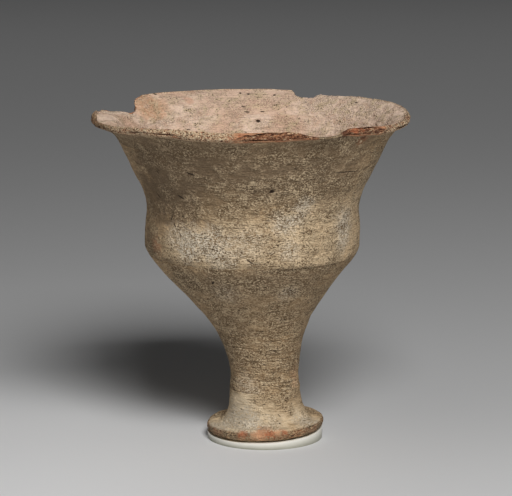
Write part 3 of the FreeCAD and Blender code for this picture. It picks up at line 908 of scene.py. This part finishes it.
class CUP_OT_lower_bowl(bpy.types.Operator):
    """Draw the funnel that leans over to the bowl's axis, with its scarf"""

    bl_idname = "cup.lower_bowl"
    bl_label = "Lower bowl"

    def execute(self, context):
        height = CARINATION_Z - STEM_TOP[2]
        narrow, wide = STEM_TOP_RADIUS, CARINATION
        base = STEM_TOP[2]
        drift = BOWL_AXIS - STEM_TOP[:2]
        shares = [(0, 0, 0), (0.1, 0.075, 0.15), (0.205, 0.157, 0.32), (0.43, 0.39, 0.6),
                  (0.665, 0.65, 0.93), (0.89, 0.904, 1.0), (1.0, 1.0, 1.0)]
        side = [(narrow + (wide - narrow) * widening, base + height * rise, *(STEM_TOP[:2] + drift * aside))
                for rise, widening, aside in flowing(shares, np.linspace(0, 1, 14))]
        boss = [(POLE, -4), (9, -4), (13, GAP), (17, GAP)]
        lap = [(46.3, height + LAP_HEIGHT), (45.5, height + LAP_HEIGHT)]
        inner = straight((45.5, height + LAP_HEIGHT), (44.1, height), 2)
        inner += straight((44.1, height), (19.5, 11), 8)
        inner += bend((19.5, 11), (11.7, 7.8), (POLE, 6), 4)
        stations = [(radius, base + up, *STEM_TOP[:2]) for radius, up in boss]
        stations += side
        stations += [(radius, base + up, *BOWL_AXIS) for radius, up in lap + inner]
        piece = thrown("funnel_bowl", stations, 170, closed=False)
        inside = step_up(normals_of(piece)[:, 2], 0.1, 0.3)
        set_points(piece, hand_made(piece, context.scene.cup_sizes))
        material = clay("funnel_clay", context.scene.clay_tones, FUNNEL_PATCHES, FUNNEL_STROKES,
                        limes=FUNNEL_LIMES)
        finished(piece, material, "cup", "lower_bowl", "fired_clay_lower_bowl", inside=inside)
        return {"FINISHED"}


class CUP_OT_upper_wall(bpy.types.Operator):
    """Draw the drawn-in wall that overhangs the carination"""

    bl_idname = "cup.upper_wall"
    bl_label = "Upper wall"

    def execute(self, context):
        edge, waist, throat = CARINATION + 1.3, CARINATION + 0.6, CARINATION + 5.7
        inner_waist, inner_throat = waist - WALL_THICKNESS, throat - WALL_THICKNESS
        low, high, tall = 19, 36.2, MOUTH_Z - CARINATION_Z
        middle = (low + high) / 2
        outline = [(47.9, LAP_HEIGHT / 2 + GAP), (CARINATION - 0.15, GAP)]
        outline += bend((CARINATION - 0.15, GAP), (CARINATION + 0.85, 1.6), (edge + 0.2, 5), 4)
        outline += bend((edge + 0.2, 5), (edge + 0.25, 9), (waist, low), 5)
        outline += bend((waist, low), (waist + 1.15, middle), (throat, high), 5)
        outline += straight((throat, high), (MOUTH, tall), 5)
        outline += [(MOUTH - RIM_LAP, tall + RIM_LAP)]
        outline += straight((MOUTH - RIM_LAP, tall + RIM_LAP), (inner_throat, high), 4)
        outline += bend((inner_throat, high), (inner_waist + 1.15, middle), (inner_waist, low), 3)
        outline += straight((inner_waist, low), (inner_waist, LAP_HEIGHT + GAP), 3)
        outline += [(46.35, LAP_HEIGHT + GAP)]
        stations = [(radius, CARINATION_Z + up, *BOWL_AXIS) for radius, up in outline]
        piece = thrown("drawn_wall", stations, 180, closed=True)
        points = points_of(piece)
        radius, away = outward(points)
        outer = np.interp(points[:, 2] - CARINATION_Z, (0, low, high, tall), (edge, waist, throat, MOUTH))
        inside = (radius < outer - 2.6) * 1.0
        # at the front right the wall hangs a little over the funnel, elsewhere it is smoothed down
        azimuth = azimuth_of(away)
        hang = step_up(azimuth, 275, 290) * (1 - step_up(azimuth, 325, 345))
        hang = hang + 0.3 * Grain(9).rough(points, 12)
        lip = (1 - step_up(points[:, 2], CARINATION_Z + 0.5, CARINATION_Z + 4)) * step_up(radius, 47, 49)
        points = hand_made(piece, context.scene.cup_sizes)
        points[:, :2] += away * (0.75 * np.maximum(hang, 0) * lip)[:, None]
        set_points(piece, pressed(points, WALL_DENTS))
        material = clay("wall_clay", context.scene.clay_tones, WALL_PATCHES, WALL_STROKES,
                        spots=WALL_SPOTS, calm=WALL_CALM, limes=WALL_LIMES)
        finished(piece, material, "cup", "upper_wall", "fired_clay_upper_wall", inside=inside)
        return {"FINISHED"}


# The lip by azimuth about the bowl's axis: height of its crest, its radius, and its edge's thickness
LIP = (
    (0, 156.3, 73.8, 3.2), (8, 157.5, 73.8, 3.6), (16, 157.9, 73.8, 4.2), (24, 157.9, 74.0, 4.4),
    (32, 157.6, 74.2, 4.5), (40, 157.4, 74.3, 4.5), (74, 158.0, 74.8, 4.5), (82, 158.4, 75.0, 4.5),
    (104, 158.4, 75.2, 4.5), (120, 158.5, 75.3, 4.5), (138, 158.5, 75.4, 4.5), (150, 157.0, 75.3, 4.0),
    (162, 155.4, 75.4, 3.2), (168, 155.3, 75.4, 3.0), (172, 156.4, 75.4, 2.8), (178, 156.3, 75.3, 2.6),
    (185, 155.4, 75.4, 2.5), (191, 154.9, 75.4, 2.6), (198, 155.5, 75.4, 2.9), (205, 155.9, 75.4, 3.0),
    (212, 156.2, 75.3, 3.1), (219, 156.7, 75.2, 3.3), (226, 157.3, 75.1, 3.4), (233, 157.9, 75.1, 3.6),
    (240, 158.3, 75.0, 4.1), (247, 158.2, 75.0, 4.5), (261, 157.9, 75.0, 4.3), (275, 158.1, 74.9, 4.1),
    (283, 158.2, 74.8, 4.0), (287, 157.3, 75.0, 2.8), (290, 155.9, 75.2, 1.3), (293, 155.3, 75.2, 0.9),
    (300, 155.3, 74.9, 0.9), (304, 156.4, 74.2, 1.4), (308, 157.5, 73.4, 2.8), (312, 157.6, 73.2, 3.6),
    (318, 157.2, 73.2, 3.6), (324, 156.5, 73.6, 3.6), (331, 156.2, 73.5, 4.0), (338, 156.0, 73.4, 3.6),
    (345, 155.8, 73.6, 3.2), (352, 155.7, 73.9, 3.0),
)
LIP_REACH = 11.7  # how far the lip stands out over the mouth
EDGE_THICKNESS = 4.5  # of the solid's lip
LIP_BAND = (64, 72.5)  # radii between which the lip's unevenness sets in
WHOLE = 80  # a radius beyond the lip, so that nothing is broken away

# Broken edges: azimuth, and the radius that is left there
BREAKS = (
    ((132, 76.5), (136, 74.7), (138.5, 73.6), (142.5, 71.8), (145.5, 69.4), (147.5, 66.8), (150, 65.2),
     (153, 64.7), (156, 64.9), (158.6, 67), (159.6, 69.7), (161, 70.5), (162.5, 73), (164, 76.5)),
    ((39, 76.5), (40.5, 74), (44, 72.9), (50.5, 72.6), (57, 71.6), (60, 71.1), (62.5, 71.6), (64, 70.4),
     (65, 68.9), (66.5, 68.3), (69, 68.5), (71.5, 69), (73, 70.4), (75, 74), (76.5, 76.5)),
    ((33.5, 76.5), (35, 73.6), (37.5, 72.6), (38.9, 73.4), (39, 76.5)),
)

# Scars where the edge's outer face flaked off: azimuth, height up to which it is gone, depth
SCARS = (
    ((262.5, 153.6, 0), (265, 155.8, 1.1), (268, 156.9, 1.6), (272, 157.4, 1.9), (277, 158.0, 2.0),
     (283, 158.3, 2.1), (286, 157.6, 1.9), (288.5, 156.4, 1.4), (291, 155.6, 0.9), (294, 154.6, 0)),
    ((302.5, 155.6, 0), (304.5, 157.0, 1.5), (308, 158.0, 2.1), (313, 157.6, 2.0), (318, 157.0, 1.7),
     (323, 156.0, 1.1), (327, 154.6, 0)),
)


def along_stretches(azimuth, stretches, elsewhere):
    """A value along the stretches, and the same value everywhere else."""
    values = np.full(azimuth.shape, float(elsewhere))
    for angles, here in stretches:
        inside = (azimuth > angles[0]) & (azimuth < angles[-1])
        values[inside] = np.interp(azimuth[inside], angles, here)
    return values


def along_section(section, places, steps=12, batch=8000):
    """The section in fine steps, the length up to each step, and how far along it each place lies."""
    fine = np.vstack([np.linspace(a, b, steps, endpoint=False) for a, b in zip(section[:-1], section[1:])]
                     + [section[-1:]])
    lengths = np.concatenate([[0], np.cumsum(np.linalg.norm(np.diff(fine, axis=0), axis=1))])
    along = np.empty(len(places))
    for start in range(0, len(places), batch):
        gap = places[start:start + batch, None, :] - fine[None]
        along[start:start + batch] = lengths[np.argmin((gap**2).sum(2), axis=1)]
    return fine, lengths, along


class CUP_OT_rim(bpy.types.Operator):
    """Fold the lip out and up, chip its edge and break two pieces away"""

    bl_idname = "cup.rim"
    bl_label = "Rim"

    def execute(self, context):
        inner, lip = MOUTH - RIM_LAP, MOUTH + LIP_REACH
        bottom, top = (lip - 1.9, 9.5), (lip - 1.0, 13.9)
        outline = [(MOUTH - RIM_LAP / 2, RIM_LAP / 2 + GAP), (MOUTH, GAP)]
        outline += bend((MOUTH, GAP), (MOUTH + 4.0, 5.6), bottom, 6)
        outline += bend(bottom, (lip, 11.3), top, 6)
        outline += bend(top, (MOUTH + 2.9, 9.6), (inner, RIM_LAP + GAP), 9)
        stations = [(radius, MOUTH_Z + up, *BOWL_AXIS) for radius, up in outline]
        piece = thrown("folded_rim", stations, 180, closed=True)
        points = points_of(piece)
        radius, away = outward(points)
        azimuth = azimuth_of(away)
        height = points[:, 2].copy()

        fine, lengths, along = along_section(np.array(outline), np.column_stack([radius, height - MOUTH_Z]))
        crest_at = lengths[np.argmax(fine[:, 1])]
        bottom_at = lengths[np.argmin(np.hypot(*(fine - bottom).T))]

        # the lip as it was folded, uneven in height, reach and thickness
        grain = Grain(21)
        angles, crests, reaches, thicknesses = zip(*LIP)
        crest, reach, thick = (np.interp(azimuth, angles, values, period=360)
                               for values in (crests, reaches, thicknesses))
        crest = crest + 0.2 * grain.at(points, 7) - 0.1
        reach = reach - BOWL_SHIFT * away[:, 0]
        outer = step_up(radius, *LIP_BAND)
        up_edge = np.clip((along - bottom_at) / (crest_at - bottom_at), 0, 1)
        height = height + (crest - RIM_HIGH[2]) * outer + (EDGE_THICKNESS - thick) * outer * (1 - up_edge)
        radius = radius + (reach - lip) * outer

        # what broke away at the back
        nibble = grain.rough(np.column_stack([points[:, :2], along * 3]), 5.0)
        keep = along_stretches(azimuth, [tuple(zip(*stretch)) for stretch in BREAKS], WHOLE) + 0.35 * nibble
        widest = int(np.argmax(fine[:, 0]))
        low_side, high_side = fine[:widest + 1], fine[widest:][::-1]
        low_at = np.interp(keep, low_side[:, 0], lengths[:widest + 1])
        high_at = np.interp(keep, high_side[:, 0], lengths[widest:][::-1])
        broken = (radius > keep) & (along > low_at) & (along < high_at)
        share = np.clip((along - low_at) / np.maximum(high_at - low_at, 1e-6), 0, 1)
        low_z = MOUTH_Z + np.interp(keep, low_side[:, 0], low_side[:, 1])
        high_z = MOUTH_Z + np.interp(keep, high_side[:, 0], high_side[:, 1])
        fallen = low_z + (high_z - low_z) * share + (crest - RIM_HIGH[2]) * step_up(keep, *LIP_BAND)
        height = np.where(broken, fallen, height)
        radius = np.where(broken, keep, radius)

        # flakes gone from the edge's outer face
        scar_top = along_stretches(azimuth, [list(zip(*stretch))[:2] for stretch in SCARS], 0)
        scar_depth = along_stretches(azimuth, [list(zip(*stretch))[::2] for stretch in SCARS], 0)
        layers = grain.rough(points + (0, 0, 3), 6, 0.9, 2)
        ragged = grain.rough(points, 3.2, 2.0)
        within = step_up(scar_depth, 0.1, 0.6)
        face = (along > bottom_at - 5) & (along < crest_at + 1.5)
        scar = step_up(scar_top + 0.55 * ragged - height, -0.15, 0.35) * face * within
        scar = scar * step_up(along + 0.5 * ragged, bottom_at - 0.2, bottom_at + 1.3)
        ledge = within * face * (1 - scar) * step_up(along + 0.6 * ragged, bottom_at - 1.8, bottom_at - 0.8)
        radius = radius - scar * scar_depth * (0.8 + 0.35 * layers)

        # the fold's crevice, painted dark as shade, and the granular crust along the edge
        band = face * step_up(along, bottom_at - 2, bottom_at + 0.5) * (1 - scar) * (~broken)
        front = step_up(-away[:, 1], -0.15, 0.1)
        crust = band * step_up(thick, 1.2, 2.4) * (0.25 + 0.75 * front) * (1 - within)
        crease_z = crest - 0.55 * thick + 0.6 * grain.at(points, 13)
        crease = np.exp(-((height - crease_z) / 0.4)**2) * crust * step_up(grain.at(points + 9, 9), 0.0, 0.4)
        radius = radius - 0.8 * crease + 0.35 * crust * grain.rough(points, 2.6, 1.8)

        set_points(piece, np.column_stack([axis_at(height) + away * radius[:, None], height]))
        set_points(piece, np.clip(hand_made(piece, context.scene.cup_sizes), RIM_LOW, RIM_HIGH))
        material = clay("rim_clay", context.scene.clay_tones, RIM_PATCHES, RIM_STROKES, RIM_INNER_PATCHES,
                        RIM_SPOTS, RIM_CALM)
        finished(piece, material, "cup", "rim_ledge", "fired_clay_rim",
                 inside=step_up(along, crest_at - 0.6, crest_at + 1.0), scar=scar,
                 broken=np.maximum(broken, 0.85 * ledge), edge=crust * step_up(-away[:, 0], 0.82, 0.97),
                 crust=crust * 0.9, sunk=np.clip(crease * 1.3 - 0.3, 0, 1))
        return {"FINISHED"}


# Soft lights round the cup: degrees from the front and above the floor, size, watts
SOFT_LIGHTS = {
    "key": (12, 41, 560, 20.5),
    "right_fill": (80, 40, 800, 0.6),
    "top_left_fill": (-80, 62, 800, 0.4),
}
LIGHT_AIM, LIGHT_AWAY = Vector((-5, 0, 85)) * MM, 1500 * MM
CAMERA_PLACE, CAMERA_DROP = Vector((-4.2, -1375, 348)) * MM, math.radians(10.56)
CAMERA_LENS, CAMERA_SENSOR, CAMERA_SIGHT = 207.4, 36, 40  # the last in metres
FLOOR_SIZE, FLOOR_DROP, SKY_LIGHT = 12000, 0.02, 0.02


def soft_light(name, azimuth, rise, size, watts):
    """A square light that looks at the cup."""
    side, up = math.radians(azimuth), math.radians(rise)
    away = Vector((math.sin(side) * math.cos(up), -math.cos(side) * math.cos(up), math.sin(up)))
    area_light(name, LIGHT_AIM + LIGHT_AWAY * away, LIGHT_AIM, size, size, watts)


def area_light(name, spot, aim, wide, deep, watts, spread=180):
    light = bpy.data.lights.new(name, "AREA")
    light.shape, light.size, light.size_y = "RECTANGLE", wide * MM, deep * MM
    light.energy, light.spread = watts, math.radians(spread)
    lamp = bpy.data.objects.new(name, light)
    bpy.context.scene.collection.objects.link(lamp)
    lamp.location = spot
    lamp.rotation_euler = (aim - spot).to_track_quat("-Z", "Y").to_euler()


class CUP_OT_stage(bpy.types.Operator):
    """Lay the pale floor, set the soft lights and stand the camera"""

    bl_idname = "cup.stage"
    bl_label = "Stage"

    def execute(self, context):
        take_only()
        bpy.ops.mesh.primitive_plane_add(size=FLOOR_SIZE * MM, location=(0, 0, -FLOOR_DROP * MM))
        floor = context.object
        floor.name = floor.data.name = "paper_floor"
        bpy.ops.object.transform_apply(location=True, rotation=True, scale=True)
        floor.data.materials.append(sweep_paper("floor_paper", context.scene.display_tones))

        for name, settings in SOFT_LIGHTS.items():
            soft_light(name, *settings)
        behind = Vector((0, 1750, 0)) * MM
        area_light("background_light", behind + Vector((0, 0, 950)) * MM, behind, 3200, 1300, 1.0, spread=105)
        world = bpy.data.worlds.new("studio")
        context.scene.world = world
        world.use_nodes = True
        background = world.node_tree.nodes["Background"]
        background.inputs["Color"].default_value = (1, 1, 1, 1)
        background.inputs["Strength"].default_value = SKY_LIGHT

        camera = bpy.data.cameras.new("camera")
        camera.lens, camera.sensor_width = CAMERA_LENS, CAMERA_SENSOR
        camera.clip_end = CAMERA_SIGHT
        stand = bpy.data.objects.new("camera", camera)
        context.scene.collection.objects.link(stand)
        stand.location = CAMERA_PLACE
        stand.rotation_euler = (math.pi / 2 - CAMERA_DROP, 0, 0)
        context.scene.camera = stand
        context.scene.view_settings.view_transform = "Standard"
        return {"FINISHED"}


class CUP_PT_sections(bpy.types.Panel):
    """The cup's sections and stage"""

    bl_idname = "CUP_PT_sections"
    bl_label = "Stemmed clay cup"
    bl_space_type = "VIEW_3D"
    bl_region_type = "UI"
    bl_category = "Cup"

    def draw(self, context):
        for operator in OPERATORS:
            self.layout.operator(operator.bl_idname)
        for group_name, kind in GROUPS.items():
            for name in kind.__annotations__:
                self.layout.prop(getattr(context.scene, group_name), name)


OPERATORS = (CUP_OT_stage, CUP_OT_levelling_disc, CUP_OT_foot, CUP_OT_stem, CUP_OT_lower_bowl,
             CUP_OT_upper_wall, CUP_OT_rim)
GROUPS = {"cup_sizes": CupSizes, "clay_tones": ClayTones, "display_tones": DisplayTones}
CLASSES = (*GROUPS.values(), *OPERATORS, CUP_PT_sections)


def register():
    for item in CLASSES:
        bpy.utils.register_class(item)
    for name, kind in GROUPS.items():
        setattr(bpy.types.Scene, name, bpy.props.PointerProperty(type=kind))


def unregister():
    for name in GROUPS:
        delattr(bpy.types.Scene, name)
    for item in reversed(CLASSES):
        bpy.utils.unregister_class(item)


def main():
    register()
    bpy.ops.cup.stage()
    bpy.ops.cup.levelling_disc()
    bpy.ops.cup.foot()
    bpy.ops.cup.stem()
    bpy.ops.cup.lower_bowl()
    bpy.ops.cup.upper_wall()
    bpy.ops.cup.rim()


if __name__ == "__main__":
    main()
